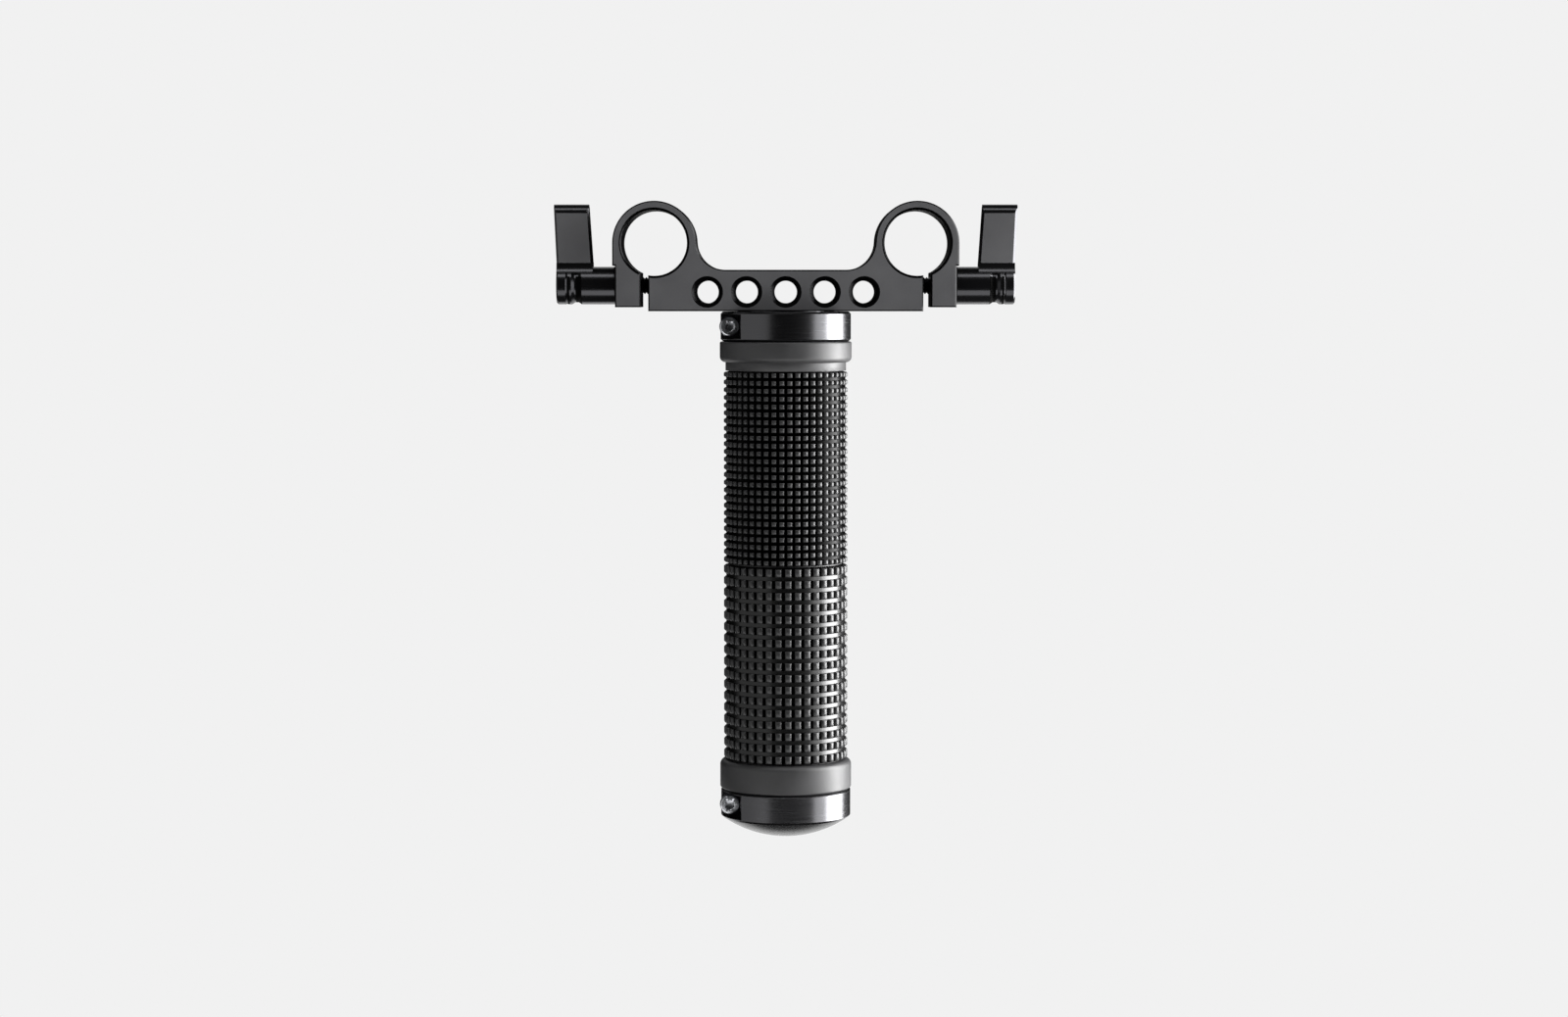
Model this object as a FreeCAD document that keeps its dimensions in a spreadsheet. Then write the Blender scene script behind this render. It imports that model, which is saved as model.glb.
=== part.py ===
import FreeCAD, Part
import itertools
import math
import os
import Sketcher

# Rod mount handle: a split clamp block for two 15 mm rods, its two turning levers,
# and a lock-on hand grip on a tube screwed up into the block.
# Frame: origin midway between the rod axes at mid depth, X across the rods,
# Y along the rods with the front at -Y, Z up. Lengths in mm, angles in degrees.

CLAMP_SIZES = {
    "rod_spacing": 60.0,  # between the two rod axes
    "rod_radius": 7.5,  # bore for a 15 mm rod
    "ring_wall": 2.05,  # round the rod bore
    "block_depth": 16.0,  # along the rods
    "bar_drop": 6.13,  # rod axes down to the top of the bar
    "bar_height": 9.43,
    "saddle_radius": 6.7,  # hollow between ring and bar
    "slot_offset": 1.36,  # rod axis to the inner wall of the clamping slot
    "slot_width": 1.78,
    "leg_thickness": 5.79,  # clamp leg, slot to lever seat
    "leg_relief": 0.9,  # leg is this much shorter than the bar
    "seat_drop": 5.2,  # rod axis down to the top of the milled lever seat
    "screw_drop": 9.7,  # rod axis down to the lever and screw axis
    "edge_break": 0.3,
    "accessory_radius": 2.6,  # 1/4 inch thread, wall at its crest
    "accessory_mouth": 1.0,  # countersink on the accessory holes
    "accessory_pitch": 8.95,
    "accessory_count": 5,
    "accessory_height": 4.39,  # hole axes above the bottom of the bar
}

LEVER_SIZES = {
    "hub_radius": 4.3,
    "hub_length": 13.7,
    "hub_edge": 0.35,
    "neck_middle": 9.13,  # turned neck, from the lever seat
    "neck_length": 0.9,
    "neck_depth": 0.45,
    "neck_slope": 0.67,  # each side of the neck runs up to the hub over this
    "score_middle": 11.35,  # fine turned line beyond the neck
    "score_width": 0.5,
    "score_depth": 0.15,
    "blade_start": 5.37,  # inner edge of the blade, from the lever seat
    "blade_reach": 18.6,  # hub axis to the blade's tip
    "blade_thickness": 4.5,
    "blade_lean": 0.9,  # inner edge leans out by this at the tip
    "tip_overhang": 0.6,  # outer edge of the tip beyond the hub's end
    "flare_radius": 3.3,  # hollow where blade runs into hub
    "tip_round": 2.2,
    "blade_edge": 0.5,  # chamfer down both sides of the blade's faces
    "clamp_screw_radius": 2.0,  # M4
    "clamp_screw_length": 25.0,
    "clamp_screw_recess": 2.0,  # below the hub's outer end
    "clamp_key": 2.0,  # hexagon socket, across flats
    "clamp_key_depth": 2.5,
    "leg_clearance": 0.15,  # round the screw in the clamp leg
}

HANDLE_SIZES = {
    "tube_radius": 11.1,
    "tube_wall": 1.8,
    "tube_end": 5.0,  # closed end against the bar
    "ring_gap": 0.1,  # bar to upper lock ring
    "lock_ring_wall": 3.87,
    "lock_ring_height": 6.8,
    "lock_ring_edge": 0.5,
    "ring_fit": 0.03,  # lock ring on the tube
    "joint_gap": 0.1,  # lock ring to grip
    "slit_width": 1.0,
    "ring_turn": 4.0,  # slit of the lock rings, from -X towards the front
    "sleeve_fit": 0.05,  # grip sleeve on the tube
    "sleeve_wall": 1.45,
    "bond_line": 0.02,  # rubber on the sleeve
    "tab_count": 3,
    "tab_angle": 36.0,
    "tab_length": 2.5,
    "tab_clearance": 0.15,
    "tab_clearance_angle": 2.0,
    "rubber_wall": 1.28,  # under the plain band
    "flange_proud": 0.2,  # flanges stand this far out beyond the lock rings
    "flange_edge": 0.4,
    "upper_flange": 4.75,
    "lower_flange": 6.6,
    "smooth_band": 1.9,
    "groove_drop": 0.15,  # grooves between the studs, below the plain band
    "stud_proud": 0.4,  # crowns of the studs, above the plain band
    "field_groove": 0.3,  # plain groove between the fine and the coarse studs
    "fine_rows": 25,
    "fine_columns": 48,
    "fine_pitch": 1.78,
    "coarse_rows": 17,
    "coarse_columns": 39,
    "coarse_pitch": 2.68,
    "coarse_width": 1.35,  # crown of a coarse stud, round the grip
    "coarse_height": 1.85,  # the same, along the grip
    "plug_step": 0.5,  # plug rim inside the lower lock ring's outline
    "plug_dome": 4.5,
    "spigot_fit": 0.2,
    "spigot_wall": 1.6,
    "spigot_length": 12.0,
    "spigot_slot": 1.4,
    "bead_height": 0.15,
    "bead_length": 0.8,
}

FASTENER_SIZES = {
    "thread_clearance": 0.05,
    "blind_extra": 0.8,  # threaded hole beyond a screw's tip
    "tip_bevel": 0.35,
    "head_edge": 0.25,
    "mount_screw_radius": 1.25,  # M2.5 x 8, tube to bar
    "mount_screw_length": 8.0,
    "mount_head_radius": 2.25,
    "mount_head_height": 2.5,
    "mount_key": 2.0,
    "mount_key_depth": 1.3,
    "mount_row": 2.5,  # screws in front of and behind the middle
    "mount_clearance": 0.1,
    "ring_bolt_radius": 1.25,  # M2.5 x 6, pinches a lock ring
    "ring_bolt_length": 6.0,
    "ring_bolt_clearance": 0.15,
    "ring_head_radius": 2.25,
    "ring_head_height": 2.5,
    "ring_key": 2.0,
    "ring_key_depth": 1.3,
    "ring_bolt_seat": 2.6,  # slit's mid plane to the underside of the head
    "ring_head_proud": 0.5,  # bolt head beyond the lock ring's outline
    "ring_pocket_height": 5.6,
    "ring_pocket_clearance": 0.07,
    "ring_bolt_runout": 0.4,
}

# Heights and distances that several pieces share, as expressions over the sheet.
ROD_X = "(sizes.rod_spacing / 2)"
RING_RADIUS = "(sizes.rod_radius + sizes.ring_wall)"
BAR_TOP = "(-sizes.bar_drop)"
BAR_BOTTOM = "(-sizes.bar_drop - sizes.bar_height)"
SLOT_INNER = f"({ROD_X} + sizes.slot_offset)"
SLOT_OUTER = f"({SLOT_INNER} + sizes.slot_width)"
SEAT_X = f"({SLOT_OUTER} + sizes.leg_thickness)"
LEG_BOTTOM = f"({BAR_BOTTOM} + sizes.leg_relief)"
SCREW_Z = "(-sizes.screw_drop)"
ACCESSORY_Z = f"({BAR_BOTTOM} + sizes.accessory_height)"
CLAMP_SCREW_END = f"({SEAT_X} + sizes.hub_length - sizes.clamp_screw_recess)"
CLAMP_SCREW_TIP = f"({CLAMP_SCREW_END} - sizes.clamp_screw_length)"
STUD_LENGTH = "(sizes.fine_rows * sizes.fine_pitch + sizes.coarse_rows * sizes.coarse_pitch)"
GRIP_LENGTH = (
    f"(sizes.upper_flange + sizes.smooth_band + {STUD_LENGTH} + sizes.lower_flange)"
)
UPPER_RING_Z = f"({BAR_BOTTOM} - sizes.ring_gap - sizes.lock_ring_height / 2)"
GRIP_TOP = f"({UPPER_RING_Z} - sizes.lock_ring_height / 2 - sizes.joint_gap)"
LOWER_RING_Z = f"({GRIP_TOP} - {GRIP_LENGTH} - sizes.joint_gap - sizes.lock_ring_height / 2)"
TUBE_BOTTOM = f"({LOWER_RING_Z} - sizes.lock_ring_height / 2)"
TUBE_BORE = "(sizes.tube_radius - sizes.tube_wall)"
RING_BORE = "(sizes.tube_radius + sizes.ring_fit)"
SLEEVE_BORE = "(sizes.tube_radius + sizes.sleeve_fit)"
SLEEVE_RADIUS = f"({SLEEVE_BORE} + sizes.sleeve_wall)"
LOCK_RING_RADIUS = f"({RING_BORE} + sizes.lock_ring_wall)"
RING_BOLT_OFFSET = (
    f"({LOCK_RING_RADIUS} + sizes.ring_head_proud - sizes.ring_head_radius)"
)
RUBBER_BORE = f"({SLEEVE_RADIUS} + sizes.bond_line)"
BAND_RADIUS = f"({RUBBER_BORE} + sizes.rubber_wall)"
FLANGE_RADIUS = f"({LOCK_RING_RADIUS} + sizes.flange_proud)"
MOUNT_X = "(sizes.accessory_pitch / 2)"
MOUNT_THREAD = "(sizes.mount_screw_length - sizes.tube_end)"

doc = FreeCAD.newDocument("rod_mount_handle")
sheet = doc.addObject("Spreadsheet::Sheet", "sizes")
row = 0
for group in (CLAMP_SIZES, LEVER_SIZES, HANDLE_SIZES, FASTENER_SIZES):
    for alias, value in group.items():
        row += 1
        sheet.set(f"A{row}", str(value))
        sheet.setAlias(f"A{row}", alias)
doc.recompute()

subparts = []


def new_body(label):
    """A body that becomes a piece of its own."""
    body = doc.addObject("PartDesign::Body", label)
    body.Label = label
    subparts.append(body)
    return body


def origin_feature(body, role):
    return [f for f in body.Origin.OriginFeatures if f.Role == role][0]


X_AXIS = FreeCAD.Vector(1, 0, 0)
Y_AXIS = FreeCAD.Vector(0, 1, 0)
Z_AXIS = FreeCAD.Vector(0, 0, 1)


def value_of(thing, expression):
    return float(thing.evalExpression(expression))


def place(thing, x="0", y="0", z="0", rotation=None):
    """Put a piece where the sheet says, turned by a fixed rotation."""
    thing.Placement = FreeCAD.Placement(
        FreeCAD.Vector(), rotation or FreeCAD.Rotation()
    )
    for axis, expression in (("x", x), ("y", y), ("z", z)):
        thing.setExpression(f"Placement.Base.{axis}", expression)


def new_sketch(body, name, role, lift=None):
    """A sketch on one of the body's own planes, moved along its normal by lift."""
    sketch = body.newObject("Sketcher::SketchObject", name)
    sketch.AttachmentSupport = [(origin_feature(body, role), "")]
    sketch.MapMode = "FlatFace"
    if lift:
        sketch.setExpression("AttachmentOffset.Base.z", lift)
    return sketch


def pin(sketch, curve, point, across, up):
    """Hold a point of a curve at two distances from the sketch's origin."""
    for kind, expression, axis in (("DistanceX", across, -2), ("DistanceY", up, -1)):
        if expression == "0":
            sketch.addConstraint(
                Sketcher.Constraint("PointOnObject", curve, point, axis)
            )
            continue
        index = sketch.addConstraint(
            Sketcher.Constraint(
                kind, -1, 1, curve, point, value_of(sketch, expression)
            )
        )
        sketch.setExpression(f"Constraints[{index}]", expression)


def hold_radius(sketch, curve, expression):
    index = sketch.addConstraint(
        Sketcher.Constraint("Radius", curve, value_of(sketch, expression))
    )
    sketch.setExpression(f"Constraints[{index}]", expression)


def arc_between(here, there, radius, side):
    """The short arc from here to there, its centre on the left (1) or right (-1)."""
    chord = there - here
    rise = math.sqrt(radius**2 - (chord.Length / 2) ** 2)
    left = FreeCAD.Vector(-chord.y, chord.x, 0).normalize()
    centre = here + chord * 0.5 + left * (rise * side)
    first, last = (here, there) if side > 0 else (there, here)
    start = math.atan2(first.y - centre.y, first.x - centre.x)
    end = math.atan2(last.y - centre.y, last.x - centre.x)
    if end < start:
        end += 2 * math.pi
    circle = Part.Circle(centre, FreeCAD.Vector(0, 0, 1), radius)
    return Part.ArcOfCircle(circle, start, end)


def outline(sketch, corners):
    """A closed outline. Each corner is (across, up), and a straight line leaves it,
    or (across, up, radius, side) where an arc does."""
    spots = [
        FreeCAD.Vector(value_of(sketch, c[0]), value_of(sketch, c[1]), 0)
        for c in corners
    ]
    leaving, arriving = [], []
    for number, corner in enumerate(corners):
        here, there = spots[number], spots[(number + 1) % len(corners)]
        if len(corner) == 2:
            curve = sketch.addGeometry(Part.LineSegment(here, there))
            forward = True
        else:
            radius = value_of(sketch, corner[2])
            curve = sketch.addGeometry(arc_between(here, there, radius, corner[3]))
            forward = corner[3] > 0
        leaving.append((curve, 1 if forward else 2))
        arriving.append((curve, 2 if forward else 1))
    for number, corner in enumerate(corners):
        following = (number + 1) % len(corners)
        sketch.addConstraint(
            Sketcher.Constraint("Coincident", *arriving[number], *leaving[following])
        )
        pin(sketch, *leaving[number], corner[0], corner[1])
        if len(corner) > 2:
            hold_radius(sketch, leaving[number][0], corner[2])


def rectangle(sketch, left, bottom, right, top):
    outline(sketch, [(left, bottom), (right, bottom), (right, top), (left, top)])


def circle(sketch, across, up, radius):
    centre = FreeCAD.Vector(value_of(sketch, across), value_of(sketch, up), 0)
    curve = sketch.addGeometry(
        Part.Circle(centre, FreeCAD.Vector(0, 0, 1), value_of(sketch, radius))
    )
    pin(sketch, curve, 3, across, up)
    hold_radius(sketch, curve, radius)


def hexagon(sketch, flats):
    """A hexagon about the sketch's origin, given its width across flats."""
    corner = f"({flats} / sqrt(3))"
    outline(
        sketch,
        [
            (corner, "0"),
            (f"{corner} / 2", f"{flats} / 2"),
            (f"-{corner} / 2", f"{flats} / 2"),
            (f"-{corner}", "0"),
            (f"-{corner} / 2", f"-{flats} / 2"),
            (f"{corner} / 2", f"-{flats} / 2"),
        ],
    )


def both_sides(corners):
    """A right half outline, from the middle line out and back, made whole."""
    mirrored = [(f"-({c[0]})", c[1]) for c in reversed(corners)]
    return corners + mirrored


def pad(body, name, sketch, length, symmetric=False, reverse=False):
    feature = body.newObject("PartDesign::Pad", name)
    feature.Profile = sketch
    feature.Midplane = symmetric
    feature.Reversed = reverse
    feature.setExpression("Length", length)
    return feature


def cut_counts(before, feature, name):
    """Stop where a cut takes nothing away."""
    doc.recompute()
    if not 0 < feature.Shape.Volume < before - 1e-6:
        raise RuntimeError(f"{name} cuts nothing, or everything")
    return feature


def pocket(body, name, sketch, length, symmetric=False, reverse=False):
    """Cut against the sketch's normal, or along it with reverse."""
    doc.recompute()
    before = body.Tip.Shape.Volume
    feature = body.newObject("PartDesign::Pocket", name)
    feature.Profile = sketch
    feature.Midplane = symmetric
    feature.Reversed = reverse
    feature.setExpression("Length", length)
    return cut_counts(before, feature, name)


def turned(body, name, sketch, axis, angle="360"):
    """Revolve a profile about an axis of its sketch, half the angle each way."""
    feature = body.newObject("PartDesign::Revolution", name)
    feature.Profile = sketch
    feature.ReferenceAxis = (sketch, [axis])
    feature.Midplane = angle != "360"
    feature.setExpression("Angle", angle)
    return feature


def turned_cut(body, name, sketch, axis, angle):
    doc.recompute()
    before = body.Tip.Shape.Volume
    feature = body.newObject("PartDesign::Groove", name)
    feature.Profile = sketch
    feature.ReferenceAxis = (sketch, [axis])
    feature.Midplane = True
    feature.setExpression("Angle", angle)
    return cut_counts(before, feature, name)


def around(body, name, feature, count):
    """Repeat a feature evenly about the body's Z axis."""
    pattern = body.newObject("PartDesign::PolarPattern", name)
    pattern.Originals = [feature]
    pattern.Axis = (origin_feature(body, "Z_Axis"), [""])
    pattern.Angle = 360
    pattern.setExpression("Occurrences", count)
    body.Tip = pattern
    return pattern


def edges_where(feature, wanted):
    doc.recompute()
    return [
        f"Edge{number}"
        for number, edge in enumerate(feature.Shape.Edges, start=1)
        if wanted(edge)
    ]


def dressed(body, kind, name, size, wanted):
    """Fillet or chamfer the edges of the body so far that answer a test."""
    base = body.Tip
    names = edges_where(base, wanted)
    if not names:
        raise RuntimeError(f"{name} finds no edge")
    feature = body.newObject(kind, name)
    feature.Base = (base, names)
    feature.setExpression("Radius" if kind.endswith("Fillet") else "Size", size)
    return feature


def on_faces(edge, half_depth):
    """Does the edge lie in the front or the back face?"""
    box = edge.BoundBox
    return (
        box.YLength < 1e-6 and abs(abs(box.YMin) - half_depth) < 1e-6
    )


def clamp_block():
    """The split block: bar, two rod rings, clamp legs and every hole."""
    body = new_body("clamp_block")
    depth = "sizes.block_depth"
    profile = new_sketch(body, "bar_profile", "XZ_Plane")
    outline(
        profile,
        both_sides(
            [
                (f"({SLOT_INNER} + sizes.slot_width / 2)", BAR_BOTTOM),
                (f"({SLOT_INNER} + sizes.slot_width / 2)", LEG_BOTTOM),
                (SEAT_X, LEG_BOTTOM),
                (SEAT_X, "-sizes.seat_drop"),
                (f"{ROD_X} + {RING_RADIUS}", "-sizes.seat_drop"),
                (f"{ROD_X} + {RING_RADIUS}", "0"),
                (ROD_X, "0"),
                (ROD_X, BAR_TOP),
            ]
        ),
    )
    pad(body, "bar", profile, depth, symmetric=True)
    rings = new_sketch(body, "ring_profile", "XZ_Plane")
    for side in ("", "-"):
        circle(rings, f"{side}{ROD_X}", "0", RING_RADIUS)
    pad(body, "rod_rings", rings, depth, symmetric=True)

    rod_x = value_of(sheet, "rod_spacing / 2")
    bar_top = -value_of(sheet, "bar_drop")
    ring_radius = value_of(sheet, "rod_radius + ring_wall")
    corner_x = rod_x - math.sqrt(ring_radius**2 - bar_top**2)

    def saddle(edge):
        box = edge.BoundBox
        return (
            abs(abs(box.XMin) - corner_x) < 1e-4
            and box.XLength < 1e-6
            and abs(box.ZMin - bar_top) < 1e-4
            and box.ZLength < 1e-6
        )

    dressed(body, "PartDesign::Fillet", "saddles", "sizes.saddle_radius", saddle)

    bores = new_sketch(body, "bore_profile", "XZ_Plane")
    for side in ("", "-"):
        circle(bores, f"{side}{ROD_X}", "0", "sizes.rod_radius")
    pocket(body, "rod_bores", bores, f"{depth} + 2", symmetric=True)
    slots = new_sketch(body, "slot_profile", "XZ_Plane")
    rectangle(slots, SLOT_INNER, f"{BAR_BOTTOM} - 1", SLOT_OUTER, "-sizes.slot_width")
    rectangle(
        slots, f"-{SLOT_OUTER}", f"{BAR_BOTTOM} - 1", f"-{SLOT_INNER}", "-sizes.slot_width"
    )
    pocket(body, "clamp_slots", slots, f"{depth} + 2", symmetric=True)
    half_depth = value_of(sheet, "block_depth / 2")
    dressed(
        body,
        "PartDesign::Chamfer",
        "broken_edges",
        "sizes.edge_break",
        lambda edge: on_faces(edge, half_depth),
    )

    holes = new_sketch(body, "accessory_profile", "XZ_Plane")
    first = "(sizes.accessory_count - 1) / 2 * sizes.accessory_pitch"
    circle(holes, f"-({first})", ACCESSORY_Z, "sizes.accessory_radius")
    hole = pocket(body, "accessory_hole", holes, f"{depth} + 2", symmetric=True)
    pattern = body.newObject("PartDesign::LinearPattern", "accessory_row")
    pattern.Originals = [hole]
    pattern.Direction = (holes, ["H_Axis"])
    pattern.setExpression(
        "Length", "(sizes.accessory_count - 1) * sizes.accessory_pitch"
    )
    pattern.setExpression("Occurrences", "sizes.accessory_count")
    body.Tip = pattern
    accessory_z = value_of(pattern, ACCESSORY_Z)
    accessory_radius = value_of(sheet, "accessory_radius")

    def mouth(edge):
        box = edge.BoundBox
        return (
            on_faces(edge, half_depth)
            and abs(box.Center.z - accessory_z) < 1e-4
            and abs(box.ZLength - 2 * accessory_radius) < 1e-3
        )

    dressed(
        body, "PartDesign::Chamfer", "accessory_mouths", "sizes.accessory_mouth", mouth
    )

    # The clamp screws run across the slots: clear through the legs, threaded in the bar.
    for side, reverse in (("", False), ("-", True)):
        hand = "left" if side else "right"
        leg = new_sketch(body, f"{hand}_leg_circle", "YZ_Plane", f"{side}{SEAT_X}")
        circle(leg, "0", SCREW_Z, "sizes.clamp_screw_radius + sizes.leg_clearance")
        pocket(
            body,
            f"{hand}_leg_hole",
            leg,
            "sizes.leg_thickness + sizes.slot_width / 2",
            reverse=reverse,
        )
        bar = new_sketch(body, f"{hand}_thread_circle", "YZ_Plane", f"{side}{SLOT_INNER}")
        circle(bar, "0", SCREW_Z, "sizes.clamp_screw_radius + sizes.thread_clearance")
        pocket(
            body,
            f"{hand}_thread",
            bar,
            f"{SLOT_INNER} - {CLAMP_SCREW_TIP} + sizes.blind_extra",
            reverse=reverse,
        )

    # Four blind threads between the accessory holes take the handle's screws.
    under = new_sketch(body, "mount_circles", "XY_Plane", BAR_BOTTOM)
    for across in ("", "-"):
        for along in ("", "-"):
            circle(
                under,
                f"{across}{MOUNT_X}",
                f"{along}sizes.mount_row",
                "sizes.mount_screw_radius + sizes.thread_clearance",
            )
    pocket(
        body,
        "mount_threads",
        under,
        f"{MOUNT_THREAD} + sizes.blind_extra",
        reverse=True,
    )
    return body


def lever(label, rotation, side):
    """One clamping lever: turned hub along X with a milled blade standing on it."""
    body = new_body(label)
    hub = new_sketch(body, "hub_profile", "XZ_Plane")
    radius = "sizes.hub_radius"
    neck = "(sizes.hub_radius - sizes.neck_depth)"
    neck_start = "(sizes.neck_middle - sizes.neck_length / 2)"
    neck_end = "(sizes.neck_middle + sizes.neck_length / 2)"
    score_start = "(sizes.score_middle - sizes.score_width / 2)"
    score_end = "(sizes.score_middle + sizes.score_width / 2)"
    outline(
        hub,
        [
            ("0", "0"),
            ("sizes.hub_length", "0"),
            ("sizes.hub_length", f"{radius} - sizes.hub_edge"),
            ("sizes.hub_length - sizes.hub_edge", radius),
            (score_end, radius),
            ("sizes.score_middle", f"{radius} - sizes.score_depth"),
            (score_start, radius),
            (f"{neck_end} + sizes.neck_slope", radius),
            (neck_end, neck),
            (neck_start, neck),
            (f"{neck_start} - sizes.neck_slope", radius),
            ("sizes.hub_edge", radius),
            ("0", f"{radius} - sizes.hub_edge"),
        ],
    )
    turned(body, "hub", hub, "H_Axis")

    # The blade's section flares tangentially into the hub on both faces.
    half = "(sizes.blade_thickness / 2)"
    reach = f"({radius} + sizes.flare_radius)"
    flare_y = f"({half} + sizes.flare_radius)"
    flare_z = f"sqrt({reach}^2 - {flare_y}^2)"
    root_y = f"({flare_y} * {radius} / {reach})"
    root_z = f"({flare_z} * {radius} / {reach})"
    shoulder = "(sizes.blade_reach - sizes.tip_round)"
    crown = f"({half} - sizes.tip_round)"
    section = new_sketch(body, "blade_section", "YZ_Plane", "sizes.blade_start")
    outline(
        section,
        [
            ("0", "0"),
            (root_y, root_z, "sizes.flare_radius", -1),
            (half, flare_z),
            (half, shoulder, "sizes.tip_round", 1),
            (crown, "sizes.blade_reach"),
            (f"-{crown}", "sizes.blade_reach", "sizes.tip_round", 1),
            (f"-{half}", shoulder),
            (f"-{half}", flare_z, "sizes.flare_radius", -1),
            (f"-{root_y}", root_z),
        ],
    )
    pad(
        body,
        "blade",
        section,
        "sizes.hub_length - sizes.blade_start + sizes.tip_overhang",
    )
    sides = new_sketch(body, "blade_sides", "XZ_Plane")
    outline(
        sides,
        [
            ("sizes.blade_start", flare_z),
            ("sizes.blade_start + sizes.blade_lean", "sizes.blade_reach"),
            ("sizes.blade_start + sizes.blade_lean", "sizes.blade_reach + 1"),
            ("sizes.blade_start", "sizes.blade_reach + 1"),
        ],
    )
    outline(
        sides,
        [
            ("sizes.hub_length", f"-{radius}"),
            ("sizes.hub_length + 1", f"-{radius}"),
            ("sizes.hub_length + 1", "sizes.blade_reach + 1"),
            ("sizes.hub_length + sizes.tip_overhang", "sizes.blade_reach + 1"),
            ("sizes.hub_length + sizes.tip_overhang", "sizes.blade_reach"),
            ("sizes.hub_length", flare_z),
        ],
    )
    pocket(body, "trimmed_sides", sides, "4 * sizes.hub_radius", symmetric=True)
    # The long edges of the blade's faces are broken, along the lean of each side.
    for name, foot, lean, inward in (
        ("inner", "sizes.blade_start", "sizes.blade_lean", ""),
        ("outer", "sizes.hub_length", "sizes.tip_overhang", "-"),
    ):
        corners = new_sketch(body, f"{name}_corners", "XY_Plane", flare_z)
        for face in ("", "-"):
            outline(
                corners,
                [
                    (f"{foot} - {inward}1", f"{face}({half} - sizes.blade_edge - 1)"),
                    (f"{foot} + {inward}(sizes.blade_edge + 1)", f"{face}({half} + 1)"),
                    (f"{foot} - {inward}1", f"{face}({half} + 1)"),
                ],
            )
        rise = f"(sizes.blade_reach - {flare_z})"
        doc.recompute()
        before = body.Tip.Shape.Volume
        cut = body.newObject("PartDesign::Pocket", f"{name}_edges")
        cut.Profile = corners
        cut.UseCustomVector = True
        cut.AlongSketchNormal = True
        cut.Direction = FreeCAD.Vector(0, 0, 1)
        cut.setExpression("Direction.x", f"{lean} / {rise}")
        cut.setExpression("Length", f"{rise} + 1")
        cut_counts(before, cut, f"{name}_edges")
    bore = new_sketch(body, "thread_circle", "YZ_Plane")
    circle(bore, "0", "0", "sizes.clamp_screw_radius + sizes.thread_clearance")
    pocket(body, "thread", bore, "2 * sizes.hub_length", reverse=True)
    place(body, x=f"{side}{SEAT_X}", z=SCREW_Z, rotation=rotation)
    return body


def socket(body, flats, depth, top):
    """A hexagon socket cut down from the top of a screw."""
    key = new_sketch(body, "key_profile", "XY_Plane", top)
    hexagon(key, flats)
    pocket(body, "key_socket", key, depth)


def set_screw(label, rotation, side):
    """Headless screw along its own Z, socket at the origin, tip below."""
    body = new_body(label)
    profile = new_sketch(body, "screw_profile", "XZ_Plane")
    radius = "sizes.clamp_screw_radius"
    length = "sizes.clamp_screw_length"
    outline(
        profile,
        [
            ("0", f"-{length}"),
            (f"{radius} - sizes.tip_bevel", f"-{length}"),
            (radius, f"-{length} + sizes.tip_bevel"),
            (radius, "-sizes.tip_bevel"),
            (f"{radius} - sizes.tip_bevel", "0"),
            ("0", "0"),
        ],
    )
    turned(body, "shank", profile, "V_Axis")
    socket(body, "sizes.clamp_key", "sizes.clamp_key_depth", "0")
    place(body, x=f"{side}{CLAMP_SCREW_END}", z=SCREW_Z, rotation=rotation)
    return body


def cap_screw(label, kind):
    """Socket head screw along its own Z, underside of the head at the origin."""
    body = new_body(label)
    radius = f"sizes.{kind}_radius"
    length = f"sizes.{kind}_length"
    prefix = kind.split("_")[0]
    head = f"sizes.{prefix}_head_radius"
    height = f"sizes.{prefix}_head_height"
    profile = new_sketch(body, "screw_profile", "XZ_Plane")
    outline(
        profile,
        [
            ("0", f"-{length}"),
            (f"{radius} - sizes.tip_bevel", f"-{length}"),
            (radius, f"-{length} + sizes.tip_bevel"),
            (radius, "0"),
            (head, "0"),
            (head, f"{height} - sizes.head_edge"),
            (f"{head} - sizes.head_edge", height),
            ("0", height),
        ],
    )
    turned(body, "screw", profile, "V_Axis")
    socket(body, f"sizes.{prefix}_key", f"sizes.{prefix}_key_depth", height)
    return body


def core_tube():
    """Turned cup: its closed end seats against the bar, the rest carries the grip."""
    body = new_body("core_tube")
    length = f"({BAR_BOTTOM} - {TUBE_BOTTOM})"
    profile = new_sketch(body, "tube_profile", "XZ_Plane")
    outline(
        profile,
        [
            ("0", "0"),
            ("0", "-sizes.tube_end"),
            (TUBE_BORE, "-sizes.tube_end"),
            (TUBE_BORE, f"-{length}"),
            ("sizes.tube_radius", f"-{length}"),
            ("sizes.tube_radius", "0"),
        ],
    )
    turned(body, "tube", profile, "V_Axis")
    holes = new_sketch(body, "screw_holes", "XY_Plane")
    for across in ("", "-"):
        for along in ("", "-"):
            circle(
                holes,
                f"{across}{MOUNT_X}",
                f"{along}sizes.mount_row",
                "sizes.mount_screw_radius + sizes.mount_clearance",
            )
    pocket(body, "clearance_holes", holes, "sizes.tube_end + 1")
    place(body, z=BAR_BOTTOM)
    return body


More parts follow.
